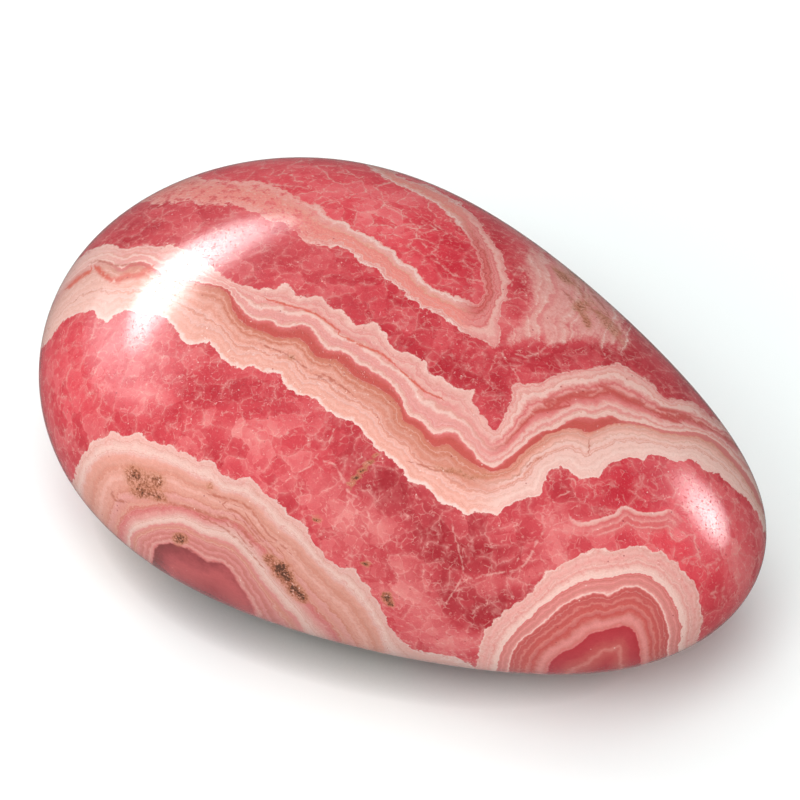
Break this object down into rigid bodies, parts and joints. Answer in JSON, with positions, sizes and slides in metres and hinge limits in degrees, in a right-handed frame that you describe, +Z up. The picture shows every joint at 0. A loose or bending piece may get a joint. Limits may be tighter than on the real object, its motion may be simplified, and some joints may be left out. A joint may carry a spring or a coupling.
{
  "type": "rhodochrosite palm stone",
  "caption": "Smooth egg-shaped palm stone of pink banded rhodochrosite, polished all over, lying on a small flat on its belly.",
  "frame": {"origin": "on the table, under the middle of the stone's bounding box", "axes": "+Z up, +X along the stone towards its narrow end, +Y across it"},
  "size_m": [0.066, 0.043, 0.0268],
  "materials": {
    "polished_rhodochrosite": "high polish"
  },
  "bodies": {
    "root": {"polished_stone": "polished_rhodochrosite"}
  },
  "joints": []
}
